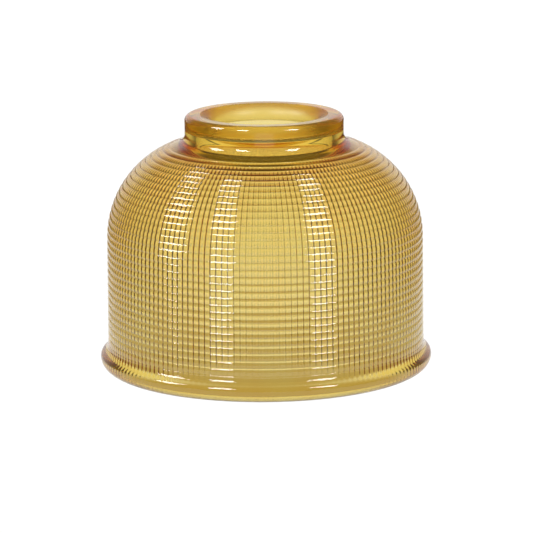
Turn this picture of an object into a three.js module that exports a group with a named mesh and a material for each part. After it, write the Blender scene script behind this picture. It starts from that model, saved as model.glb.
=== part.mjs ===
// Pressed prismatic glass lamp shade: a bell of amber glass with a round collar on top and an open bottom.
// It is one moulding. Millimetres, +Z up, the origin on the axis in the plane that the rim rests on.
import * as THREE from "three";

// Outside of the bell
const OVERALL_HEIGHT = 90;
const RIM_DIAMETER = 117.4; // the widest part
const RIM_OVERHANG = 2.7; // how far the rim stands out from the foot of the wall
const BODY_DRAFT = 0.2; // how far the wall leans out on its way down to the rim
const SHOULDER_RADIUS = 35;

// Rim
const RIM_TOP_ROUND = 2.3;
const RIM_FOOT_ROUND = 4.2;
const RIM_COVE = 3.2; // radius of the hollow curve between the wall and the rim
const FOOT_EDGE_ANGLE = 70; // the foot's round stops here, where the flat ring under the rim begins
const FOOT_INNER_ROUND = 0.4;

// Collar
const COLLAR_DIAMETER = 56;
const COLLAR_SIDE_HEIGHT = 6.7; // from the top of the cove to the collar's top face
const COLLAR_EDGE_ROUND = 2.2;
const COLLAR_COVE = 3.5; // radius of the hollow curve between the collar and the shoulder
const COLLAR_TOP_WIDTH = 9.8; // the ring of glass round the hole, edge rounds included
const COLLAR_TOP_THICKNESS = 5.6;
const COLLAR_WALL = 4.2; // round the recess under the collar's top
const HOLE_EDGE_ROUND = 4.6;

// Horizontal ribs round the outside
const RIB_PITCH = 2.5;
const RIB_DEPTH = 0.3;
const SMOOTH_BAND = 3.2; // between the top rib and the collar's cove

// Walls of the bell
const WALL_AT_RIM = 1.6;
const WALL_AT_SHOULDER = 2.7;
const WALL_AT_CROWN = 3.4;

// Fineness of the surface
const SEGMENTS_ROUND = 40;
const ARC_STEP = 15;

const GLASS_COLOUR = 0xd8a63c;

const sine = (degrees) => Math.sin(THREE.MathUtils.degToRad(degrees));
const cosine = (degrees) => Math.cos(THREE.MathUtils.degToRad(degrees));
const degrees = (radians) => THREE.MathUtils.radToDeg(radians);
const point = (radius, height) => new THREE.Vector2(radius, height);

// A point on a circle in the section plane. Angles are in degrees up from the outward direction.
const onCircle = (centre, radius, angle) =>
  point(centre.x + radius * cosine(angle), centre.y + radius * sine(angle));

// An arc in the section plane, both ends included.
function arc(centre, radius, from, to) {
  const steps = Math.max(1, Math.ceil(Math.abs(to - from) / ARC_STEP));
  const angleAt = (i) => from + ((to - from) * i) / steps;
  return Array.from({ length: steps + 1 }, (_, i) => onCircle(centre, radius, angleAt(i)));
}

const rimRadius = RIM_DIAMETER / 2;
const wallFootRadius = rimRadius - RIM_OVERHANG;
const wallTopRadius = wallFootRadius - BODY_DRAFT;
const collarRadius = COLLAR_DIAMETER / 2;

// The cove rolls between the shoulder and the collar's side, and that sets the shoulder's height.
const coveCentre = point(collarRadius + COLLAR_COVE, OVERALL_HEIGHT - COLLAR_SIDE_HEIGHT);
const coveToShoulder = SHOULDER_RADIUS + COLLAR_COVE;
const coveAngle = degrees(
  Math.acos((coveCentre.x - (wallTopRadius - SHOULDER_RADIUS)) / coveToShoulder),
);
const shoulderCentre = onCircle(coveCentre, coveToShoulder, 180 + coveAngle);

// The rim's outside from its flat foot up: foot round, bulge, top round and the cove into the wall.
function rimOutside() {
  const bulgeHeight = RIM_FOOT_ROUND * sine(FOOT_EDGE_ANGLE);
  const turn = degrees(Math.acos(1 - RIM_OVERHANG / (RIM_TOP_ROUND + RIM_COVE)));
  const footCentre = point(rimRadius - RIM_FOOT_ROUND, bulgeHeight);
  const topCentre = point(rimRadius - RIM_TOP_ROUND, bulgeHeight);
  const rimCoveCentre = onCircle(topCentre, RIM_TOP_ROUND + RIM_COVE, turn);
  return [
    ...arc(footCentre, RIM_FOOT_ROUND, -FOOT_EDGE_ANGLE, 0),
    ...arc(topCentre, RIM_TOP_ROUND, 0, turn).slice(1),
    ...arc(rimCoveCentre, RIM_COVE, 180 + turn, 180).slice(1),
  ];
}

// The ribbed stretch, from the rim's cove up the wall and round the shoulder to the smooth band.
function ribbedOutside(wallFootHeight) {
  const topAngle = coveAngle - degrees(SMOOTH_BAND / SHOULDER_RADIUS);
  const wallLength = shoulderCentre.y - wallFootHeight;
  const arcLength = THREE.MathUtils.degToRad(topAngle) * SHOULDER_RADIUS;
  const count = Math.round((wallLength + arcLength) / RIB_PITCH);
  const pitch = (wallLength + arcLength) / count;
  const surface = (distance, depth) => {
    if (distance > wallLength)
      return onCircle(
        shoulderCentre,
        SHOULDER_RADIUS - depth,
        (topAngle * (distance - wallLength)) / arcLength,
      );
    const lean = (BODY_DRAFT * (wallLength - distance)) / wallLength;
    return point(wallTopRadius + lean - depth, wallFootHeight + distance);
  };
  return Array.from({ length: count }, (_, i) => [
    surface((i + 0.5) * pitch, 0),
    surface((i + 1) * pitch, RIB_DEPTH),
  ]).flat();
}

// The collar's outside: the cove, the straight side and the rounded top edge.
function collarOutside() {
  const edgeCentre = point(collarRadius - COLLAR_EDGE_ROUND, OVERALL_HEIGHT - COLLAR_EDGE_ROUND);
  return [
    ...arc(coveCentre, COLLAR_COVE, 180 + coveAngle, 180),
    ...arc(edgeCentre, COLLAR_EDGE_ROUND, 0, 90),
  ];
}

// The hole through the collar's top, with its rounded mouth, and the recess under it.
function hole() {
  const holeRadius = collarRadius - COLLAR_TOP_WIDTH;
  const mouthCentre = point(holeRadius + HOLE_EDGE_ROUND, OVERALL_HEIGHT - HOLE_EDGE_ROUND);
  const ceiling = OVERALL_HEIGHT - COLLAR_TOP_THICKNESS;
  return [
    ...arc(mouthCentre, HOLE_EDGE_ROUND, 90, 180),
    point(holeRadius, ceiling),
    point(collarRadius - COLLAR_WALL, ceiling),
  ];
}

// The inside of the bell, from the recess down the crown and the leaning wall to the foot.
function bellInside() {
  const radius = SHOULDER_RADIUS - (WALL_AT_SHOULDER + WALL_AT_CROWN) / 2;
  const shift = (WALL_AT_CROWN - WALL_AT_SHOULDER) / 2;
  const centre = point(shoulderCentre.x + shift, shoulderCentre.y - shift);
  const crownAngle = degrees(Math.acos((collarRadius - COLLAR_WALL - centre.x) / radius));
  const footCentre = point(wallFootRadius - WALL_AT_RIM + FOOT_INNER_ROUND, FOOT_INNER_ROUND);
  return [...arc(centre, radius, crownAngle, 0), ...arc(footCentre, FOOT_INNER_ROUND, 180, 270)];
}

function glassShade() {
  const rim = rimOutside();
  const ribs = ribbedOutside(rim.at(-1).y);
  const section = [...rim, ...ribs, ...collarOutside(), ...hole(), ...bellInside()];
  section.push(section[0].clone());
  const geometry = new THREE.LatheGeometry(section, SEGMENTS_ROUND);
  geometry.rotateX(Math.PI / 2);
  const glass = new THREE.MeshStandardMaterial({
    color: GLASS_COLOUR,
    roughness: 0.05,
    metalness: 0,
  });
  const mesh = new THREE.Mesh(geometry, glass);
  mesh.name = "glass_shade";
  return mesh;
}

const lampShade = new THREE.Group();
lampShade.add(glassShade());

export default lampShade;
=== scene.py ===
"""Amber pressed prismatic glass lamp shade, standing on its rim on a white studio floor."""

import math

import bmesh
import bpy
from mathutils import Matrix, Vector


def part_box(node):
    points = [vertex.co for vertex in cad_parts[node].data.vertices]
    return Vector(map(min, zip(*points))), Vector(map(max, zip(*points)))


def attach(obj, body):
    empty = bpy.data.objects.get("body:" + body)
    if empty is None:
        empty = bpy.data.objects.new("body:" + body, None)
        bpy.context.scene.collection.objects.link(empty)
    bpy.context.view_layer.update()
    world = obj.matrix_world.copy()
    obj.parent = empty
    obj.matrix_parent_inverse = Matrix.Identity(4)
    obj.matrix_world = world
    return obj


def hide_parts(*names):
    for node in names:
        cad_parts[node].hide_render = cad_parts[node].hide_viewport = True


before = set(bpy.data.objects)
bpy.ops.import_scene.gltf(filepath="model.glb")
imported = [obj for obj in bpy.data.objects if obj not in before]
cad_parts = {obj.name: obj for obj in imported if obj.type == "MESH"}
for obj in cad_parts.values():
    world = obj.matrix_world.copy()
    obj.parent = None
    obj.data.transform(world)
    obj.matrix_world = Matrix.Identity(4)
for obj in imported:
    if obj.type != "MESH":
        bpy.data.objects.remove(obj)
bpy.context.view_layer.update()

MM = 0.001

# ---- The shade's sizes, in millimetres and degrees, the same as the CAD part's ----
low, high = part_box("glass_shade")
HEIGHT = (high.z - low.z) / MM
RIM_RADIUS = (high.x - low.x) / 2 / MM
SHOULDER_HEIGHT = 46.3
BODY_RADIUS = 55.8
BODY_DRAFT = 0.2  # how far the wall leans out on its way down
SHOULDER_RADIUS = 35
COLLAR_RADIUS = 28
COLLAR_EDGE_ROUND = 2.2
COLLAR_COVE = 3.5
COLLAR_WALL = 4.2
COLLAR_TOP_THICKNESS = 5.6
HOLE_RADIUS = 18.2
HOLE_EDGE_ROUND = 4.6
RIM_TOP_ROUND = 2.3
RIM_FOOT_ROUND = 4.2
RIM_COVE = 3.2
FOOT_EDGE_ANGLE = 70
FOOT_INNER_ROUND = 0.4
RIB_COUNT = 32
RIB_DEPTH = 0.3
RIB_TOP_RADIUS = 33.5  # radius of the ring where the ribs end, under the collar
WALL_AT_RIM = 1.6
WALL_AT_SHOULDER = 2.7
WALL_AT_CROWN = 3.4

# ---- Shape that only the visual model has, in millimetres ----
RIB_POWER = 2.5  # a higher power gives a flatter rib and a narrower groove
FLUTE_COUNT = 164
FLUTE_DEPTH = 0.6
FLUTE_POWER = 1.6
FLUTES_START = 8  # height at which the flutes fade in above the rim
FLUTES_START_FADE = 2
FLUTES_END_RADIUS = 31  # the flutes fade out here, under the smooth band
FLUTES_END_FADE = 3
RECESS_ROUND = 0.5

# ---- Fineness of the mesh ----
FLUTE_COLUMNS = 6  # in one flute
OUTER_COLUMNS = 164
RIB_ROWS = 9  # in one rib
WALL_ROWS = 10
ARC_STEP = 6  # degrees
CROWN_STEP = 4
SMALL_ROUND_STEP = 30

# ---- Glass ----
GLASS_IOR = 1.52
GLASS_TINT = (1, 0.96, 0.70, 1)
CORD_TINT = (1, 0.92, 0.64, 1)
CORD_SCALE = 90
CORD_STRETCH = (1, 1, 0.25)  # cords run upright
CORD_RANGE = (0.35, 0.65)
ABSORB_COLOUR = (0.98, 0.85, 0.2, 1)
ABSORB_DENSITY = 200
HAZE_ROUGHNESS = 0.03
HAZE_SCALE = 300
HAZE_RANGE = (0.4, 0.75)
WAVE_STRENGTH = 0.4
WAVE_HEIGHT = 0.03
WAVE_SCALE = 150
NOISE_DETAIL = 3
GROUND_TINT = (1, 0.99, 0.96, 1)
GROUND_ROUGHNESS = 0.45
GROUND_EDGE = 0.5  # width over which the ground ring meets the clear glass

# ---- Table and backdrop ----
WHITE = 1.05  # the bare table and the backdrop, as the camera sees them
TABLE_SIZE = 6  # metres
TABLE_GAP = 0.2  # keeps the table's face off the foot's
TABLE_NEAR = 0.9  # how brightly the table glows for the glass, close to the shade: painted light that falls off to the sides
TABLE_FAR = 0.04
TABLE_NEAR_SIDE = 0.12  # metres to the left or right of the shade
TABLE_FAR_SIDE = 0.2
PAINTED_POOL_COLOUR = (0.55, 0.42, 0.16, 1)  # a painted pool of amber light on the table under the shade, standing in for light that came through the glass
PAINTED_POOL_INSET = 2  # from the rim's edge to where the painted pool has ended
PAINTED_POOL_EDGE = 8
BACK_LIGHT = 0.85  # the white backdrop behind the shade, as it lights the glass
SIDE_LIGHT = 0.1
SIDE_TO_BACK = (0.6, 0.97)  # by the part of a direction that points straight back
ROOM_LIGHT = 0.12  # above the backdrop
BACKDROP_TOP = (0.3, 0.5)  # sine of the elevation where it fades into the room

# ---- Soft lights: azimuth and elevation in degrees, width and height in metres ----
SOFTBOXES = {
    "softbox_left": (-80, 36, 0.5, 0.5),
    "softbox_front_left": (-35, 38, 0.42, 0.5),
    "softbox_right": (46, 38, 0.45, 0.5),
}
SOFTBOX_DISTANCE = 1.6
SOFTBOX_POWER = 12

# ---- Camera, in millimetres and degrees ----
CAMERA_DISTANCE = 1200
CAMERA_ELEVATION = 11.85
CAMERA_PITCH = 12.29
CAMERA_ROLL = -0.486
CAMERA_SIDE_STEP = 0.42
CAMERA_BASE_HEIGHT = 44.75  # the elevation is measured from here
LENS = 234.4
SENSOR = 36


def cosine(degrees):
    return math.cos(math.radians(degrees))


def sine(degrees):
    return math.sin(math.radians(degrees))


def on_circle(centre, radius, angle):
    """A point of a circle in the section plane; angles are in degrees up from outwards."""
    return (centre[0] + radius * cosine(angle), centre[1] + radius * sine(angle))


def arc(centre, radius, start, end, step=ARC_STEP):
    count = max(1, math.ceil(abs(end - start) / step))
    return [on_circle(centre, radius, start + (end - start) * i / count) for i in range(count + 1)]


SHOULDER_CENTRE = (BODY_RADIUS - SHOULDER_RADIUS, SHOULDER_HEIGHT)
WALL_FOOT_RADIUS = BODY_RADIUS + BODY_DRAFT
RECESS_RADIUS = COLLAR_RADIUS - COLLAR_WALL


# The section, as (radius, height) points: up the outside, over the collar and down the inside.
def rim_outside():
    bulge = RIM_FOOT_ROUND * sine(FOOT_EDGE_ANGLE)
    turn = math.degrees(math.acos(1 - (RIM_RADIUS - WALL_FOOT_RADIUS) / (RIM_TOP_ROUND + RIM_COVE)))
    top = (RIM_RADIUS - RIM_TOP_ROUND, bulge)
    cove = on_circle(top, RIM_TOP_ROUND + RIM_COVE, turn)
    return (
        arc((RIM_RADIUS - RIM_FOOT_ROUND, bulge), RIM_FOOT_ROUND, -FOOT_EDGE_ANGLE, 0)
        + arc(top, RIM_TOP_ROUND, 0, turn)[1:]
        + arc(cove, RIM_COVE, 180 + turn, 180)[1:]
    )


def ribbed_outside(wall_foot):
    """The ribs, from a height on the wall up round the shoulder to the smooth band."""
    top_angle = math.degrees(math.acos((RIB_TOP_RADIUS - SHOULDER_CENTRE[0]) / SHOULDER_RADIUS))
    wall_length = SHOULDER_HEIGHT - wall_foot
    arc_length = math.radians(top_angle) * SHOULDER_RADIUS
    pitch = (wall_length + arc_length) / RIB_COUNT
    points = []
    for row in range(1, RIB_COUNT * RIB_ROWS + 1):
        distance = row * pitch / RIB_ROWS
        across = (row % RIB_ROWS) / RIB_ROWS
        depth = RIB_DEPTH * abs(2 * across - 1) ** RIB_POWER
        if distance > wall_length:
            angle = top_angle * (distance - wall_length) / arc_length
            points.append(on_circle(SHOULDER_CENTRE, SHOULDER_RADIUS - depth, angle))
        else:
            lean = BODY_DRAFT * (wall_length - distance) / wall_length
            points.append((BODY_RADIUS + lean - depth, wall_foot + distance))
    return points


def collar_outside():
    between = SHOULDER_RADIUS + COLLAR_COVE
    meeting = math.degrees(math.acos((COLLAR_RADIUS + COLLAR_COVE - SHOULDER_CENTRE[0]) / between))
    cove = on_circle(SHOULDER_CENTRE, between, meeting)
    edge = (COLLAR_RADIUS - COLLAR_EDGE_ROUND, HEIGHT - COLLAR_EDGE_ROUND)
    return arc(cove, COLLAR_COVE, 180 + meeting, 180) + arc(edge, COLLAR_EDGE_ROUND, 0, 90)


def hole_inside():
    mouth = (HOLE_RADIUS + HOLE_EDGE_ROUND, HEIGHT - HOLE_EDGE_ROUND)
    ceiling = HEIGHT - COLLAR_TOP_THICKNESS
    lip = (HOLE_RADIUS + RECESS_ROUND, ceiling + RECESS_ROUND)
    corner = (RECESS_RADIUS - RECESS_ROUND, ceiling - RECESS_ROUND)
    return (
        arc(mouth, HOLE_EDGE_ROUND, 90, 180)
        + arc(lip, RECESS_ROUND, 180, 270, SMALL_ROUND_STEP)
        + arc(corner, RECESS_ROUND, 90, 0, SMALL_ROUND_STEP)
    )


def bell_inside():
    radius = SHOULDER_RADIUS - (WALL_AT_SHOULDER + WALL_AT_CROWN) / 2
    shift = (WALL_AT_CROWN - WALL_AT_SHOULDER) / 2
    centre = (SHOULDER_CENTRE[0] + shift, SHOULDER_CENTRE[1] - shift)
    start = math.degrees(math.acos((RECESS_RADIUS - centre[0]) / radius))
    crown = arc(centre, radius, start, 0, CROWN_STEP)
    wall_top = Vector(crown[-1])
    wall_foot = Vector((WALL_FOOT_RADIUS - WALL_AT_RIM, FOOT_INNER_ROUND))
    wall = [tuple(wall_top.lerp(wall_foot, i / WALL_ROWS)) for i in range(1, WALL_ROWS)]
    foot_centre = (wall_foot.x + FOOT_INNER_ROUND, FOOT_INNER_ROUND)
    return crown + wall + arc(foot_centre, FOOT_INNER_ROUND, 180, 270, SMALL_ROUND_STEP)


def flute_fade(radius, height):
    """How strong the flutes are on the inside: 1 on the wall, 0 at the rim and under the collar."""
    up = min(1, max(0, (height - FLUTES_START) / FLUTES_START_FADE))
    out = min(1, max(0, (radius - FLUTES_END_RADIUS) / FLUTES_END_FADE))
    return up * out


def fluted(radius, height):
    """The dent of each column of a ring on the inside."""
    fade = flute_fade(radius, height)

    def dent(column):
        across = (column % FLUTE_COLUMNS) / FLUTE_COLUMNS
        return FLUTE_DEPTH * fade * abs(2 * across - 1) ** FLUTE_POWER

    return dent


def ring(bm, radius, height, columns, dent=lambda column: 0):
    verts = []
    for i in range(columns):
        angle = 2 * math.pi * i / columns
        r = radius + dent(i)
        place = (r * math.cos(angle) * MM, r * math.sin(angle) * MM, height * MM)
        verts.append(bm.verts.new(place))
    return verts


def bridge(bm, lower, upper):
    """Faces between two rings. One may have a whole number of times the other's columns."""
    a, b = len(lower), len(upper)
    n = min(a, b)
    ka, kb = a // n, b // n
    for i in range(n):
        first = [lower[(i * ka + j) % a] for j in range(ka + 1)]
        second = [upper[(i * kb + j) % b] for j in range(kb + 1)]
        bm.faces.new(first + second[::-1])


def shade_mesh():
    bm = bmesh.new()
    rim = rim_outside()
    outside = rim + ribbed_outside(rim[-1][1]) + collar_outside() + hole_inside()
    rings = [ring(bm, r, z, OUTER_COLUMNS) for r, z in outside]
    inner_columns = FLUTE_COUNT * FLUTE_COLUMNS
    rings += [ring(bm, r, z, inner_columns, fluted(r, z)) for r, z in bell_inside()]
    for lower, upper in zip(rings, rings[1:] + rings[:1]):
        bridge(bm, lower, upper)
    for face in bm.faces:
        face.smooth = True
    # The grooves between ribs are sharp, so that each rib keeps its own highlight.
    first = len(rim) - 1
    for row in range(RIB_COUNT + 1):
        groove = rings[first + row * RIB_ROWS]
        for i, vert in enumerate(groove):
            bm.edges.get((vert, groove[i - 1])).smooth = False
    bmesh.ops.recalc_face_normals(bm, faces=bm.faces)
    mesh = bpy.data.meshes.new("pressed_glass_shade")
    bm.to_mesh(mesh)
    bm.free()
    return mesh


class Tree:
    """A node tree that is built by calls."""

    def __init__(self, owner):
        owner.use_nodes = True
        self.nodes, self.links = owner.node_tree.nodes, owner.node_tree.links

    def add(self, kind, inputs, **settings):
        """A node of a kind. Each input is a constant or the socket that feeds it."""
        node = self.nodes.new("ShaderNode" + kind)
        for name, value in settings.items():
            setattr(node, name, value)
        self.feed(node, inputs)
        return node

    def feed(self, node, inputs):
        for name, value in inputs.items():
            if isinstance(value, bpy.types.NodeSocket):
                self.links.new(value, node.inputs[name])
            else:
                node.inputs[name].default_value = value

    def smooth_range(self, value, ends, results):
        """Results at the two ends of a range, and a smooth step between them."""
        names = ("From Min", "From Max", "To Min", "To Max")
        inputs = {"Value": value, **dict(zip(names, (*ends, *results)))}
        return self.add("MapRange", inputs, interpolation_type="SMOOTHSTEP").outputs["Result"]

    def mix(self, factor, first, second, **settings):
        inputs = {"Factor": factor, "A": first, "B": second}
        return self.add("Mix", inputs, **settings).outputs["Result"]

    def mix_colour(self, factor, first, second):
        return self.mix(factor, first, second, data_type="RGBA")

    def length(self, vector):
        return self.add("VectorMath", {0: vector}, operation="LENGTH").outputs["Value"]

    def noise(self, where, scale, stretch=(1, 1, 1)):
        """Noise of a scale. A stretch below 1 draws it out along that axis."""
        mapping = self.add("Mapping", {"Vector": where, "Scale": stretch})
        inputs = {"Vector": mapping.outputs["Vector"], "Scale": scale, "Detail": NOISE_DETAIL}
        return self.add("TexNoise", inputs).outputs["Fac"]


def amber_glass():
    """Pressed amber glass with faint cords and waves, and a matt, paler ring where the hole was ground."""
    material = bpy.data.materials.new("amber_glass")
    tree = Tree(material)
    where = tree.add("TexCoord", {}).outputs["Object"]
    level = tree.add("VectorMath", {0: where, 1: (1, 1, 0)}, operation="MULTIPLY")
    radius = tree.length(level.outputs["Vector"])
    ring_edge = (HOLE_RADIUS + HOLE_EDGE_ROUND) * MM
    ground = tree.smooth_range(radius, (ring_edge - GROUND_EDGE * MM, ring_edge), (1, 0))

    cords = tree.smooth_range(tree.noise(where, CORD_SCALE, CORD_STRETCH), CORD_RANGE, (0, 1))
    tint = tree.mix_colour(cords, GLASS_TINT, CORD_TINT)
    haze = tree.smooth_range(tree.noise(where, HAZE_SCALE), HAZE_RANGE, (0, HAZE_ROUGHNESS))
    waves = {
        "Strength": WAVE_STRENGTH,
        "Distance": WAVE_HEIGHT * MM,
        "Height": tree.noise(where, WAVE_SCALE),
    }
    surface = {
        "Transmission Weight": 1,
        "IOR": GLASS_IOR,
        "Base Color": tree.mix_colour(ground, tint, GROUND_TINT),
        "Roughness": tree.mix(ground, haze, GROUND_ROUGHNESS),
        "Normal": tree.add("Bump", waves).outputs["Normal"],
    }
    tree.feed(tree.nodes["Principled BSDF"], surface)
    absorb = tree.add("VolumeAbsorption", {"Color": ABSORB_COLOUR, "Density": ABSORB_DENSITY})
    tree.feed(tree.nodes["Material Output"], {"Volume": absorb.outputs["Volume"]})
    return material


shade = bpy.data.objects.new("pressed_glass_shade", shade_mesh())
bpy.context.scene.collection.objects.link(shade)
shade.data.materials.append(amber_glass())
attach(shade, "root")
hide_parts("glass_shade")


# ---- Studio ----
def painted_light_table():
    """Plain white to the camera. Glass sees it glow dimmer to the sides, with a painted pool of amber
    light under the shade.
    """
    material = bpy.data.materials.new("white_table_painted_light")
    tree = Tree(material)
    tree.nodes.remove(tree.nodes["Principled BSDF"])
    where = tree.add("TexCoord", {}).outputs["Object"]
    painted_pool_end = (RIM_RADIUS - PAINTED_POOL_INSET) * MM
    # Painted light: an amber pool of light under the shade, fading out to bare white towards the rim.
    outside_painted_pool = tree.smooth_range(tree.length(where), (painted_pool_end - PAINTED_POOL_EDGE * MM, painted_pool_end), (0, 1))
    across = tree.add("SeparateXYZ", {"Vector": where}).outputs["X"]
    sideways = tree.add("Math", {0: across}, operation="ABSOLUTE").outputs["Value"]
    glow = {
        "Color": tree.mix_colour(outside_painted_pool, PAINTED_POOL_COLOUR, (1, 1, 1, 1)),
        # Painted light: the table glows brightest beside the shade and dimmer to the left and right.
        "Strength": tree.smooth_range(
            sideways, (TABLE_NEAR_SIDE, TABLE_FAR_SIDE), (TABLE_NEAR, TABLE_FAR)
        ),
    }
    seen = {
        "Fac": tree.add("LightPath", {}).outputs["Is Camera Ray"],
        1: tree.add("Emission", glow).outputs["Emission"],
        2: tree.add("Emission", {"Strength": WHITE}).outputs["Emission"],
    }
    shader = tree.add("MixShader", seen).outputs["Shader"]
    tree.feed(tree.nodes["Material Output"], {"Surface": shader})
    return material


def table():
    mesh = bpy.data.meshes.new("floor")
    half = TABLE_SIZE / 2
    corners = [(-half, -half, 0), (half, -half, 0), (half, half, 0), (-half, half, 0)]
    mesh.from_pydata(corners, [], [(0, 1, 2, 3)])
    mesh.materials.append(painted_light_table())
    made = bpy.data.objects.new("floor", mesh)
    bpy.context.scene.collection.objects.link(made)
    made.location.z = low.z - TABLE_GAP * MM


def softbox(name, azimuth, elevation, width, height):
    """A soft light aimed at the shade. It shows in reflections only, not through the glass."""
    light = bpy.data.lights.new(name, "AREA")
    light.shape = "RECTANGLE"
    light.size, light.size_y = width, height
    light.energy = SOFTBOX_POWER
    made = bpy.data.objects.new(name, light)
    bpy.context.scene.collection.objects.link(made)
    level = cosine(elevation)
    away = Vector((sine(azimuth) * level, -cosine(azimuth) * level, sine(elevation)))
    centre = Vector((0, 0, HEIGHT / 2 * MM))
    facing = away.to_track_quat("Z", "Y").to_matrix().to_4x4()
    made.matrix_world = Matrix.Translation(centre + away * SOFTBOX_DISTANCE) @ facing
    made.visible_diffuse = False
    made.visible_transmission = False


def backdrop():
    """A world that is white to the camera. Glass sees it bright behind the shade and dim elsewhere."""
    world = bpy.data.worlds.new("studio")
    tree = Tree(world)
    towards = tree.add("TexCoord", {}).outputs["Generated"]
    parts = tree.add("SeparateXYZ", {"Vector": towards}).outputs
    paper = tree.smooth_range(parts["Y"], SIDE_TO_BACK, (SIDE_LIGHT, BACK_LIGHT))
    above = tree.smooth_range(parts["Z"], BACKDROP_TOP, (0, 1))
    light = tree.mix(above, paper, ROOM_LIGHT)
    camera_ray = tree.add("LightPath", {}).outputs["Is Camera Ray"]
    seen = {"Color": (1, 1, 1, 1), "Strength": tree.mix(camera_ray, light, WHITE)}
    tree.feed(tree.nodes["Background"], seen)
    return world


def camera():
    data = bpy.data.cameras.new("camera")
    data.lens = LENS
    data.sensor_width = SENSOR
    data.clip_end = 20
    made = bpy.data.objects.new("camera", data)
    bpy.context.scene.collection.objects.link(made)
    rise = CAMERA_DISTANCE * math.tan(math.radians(CAMERA_ELEVATION))
    eye = Vector((CAMERA_SIDE_STEP, -CAMERA_DISTANCE, CAMERA_BASE_HEIGHT + rise)) * MM
    made.matrix_world = (
        Matrix.Translation(eye)
        @ Matrix.Rotation(math.radians(90 - CAMERA_PITCH), 4, "X")
        @ Matrix.Rotation(math.radians(CAMERA_ROLL), 4, "Z")
    )
    return made


table()
for name, sizes in SOFTBOXES.items():
    softbox(name, *sizes)
scene = bpy.context.scene
scene.world = backdrop()
scene.camera = camera()
scene.view_settings.view_transform = "Standard"
scene.cycles.max_bounces = 32
scene.cycles.transmission_bounces = 32
scene.cycles.glossy_bounces = 16
scene.cycles.use_denoising = True
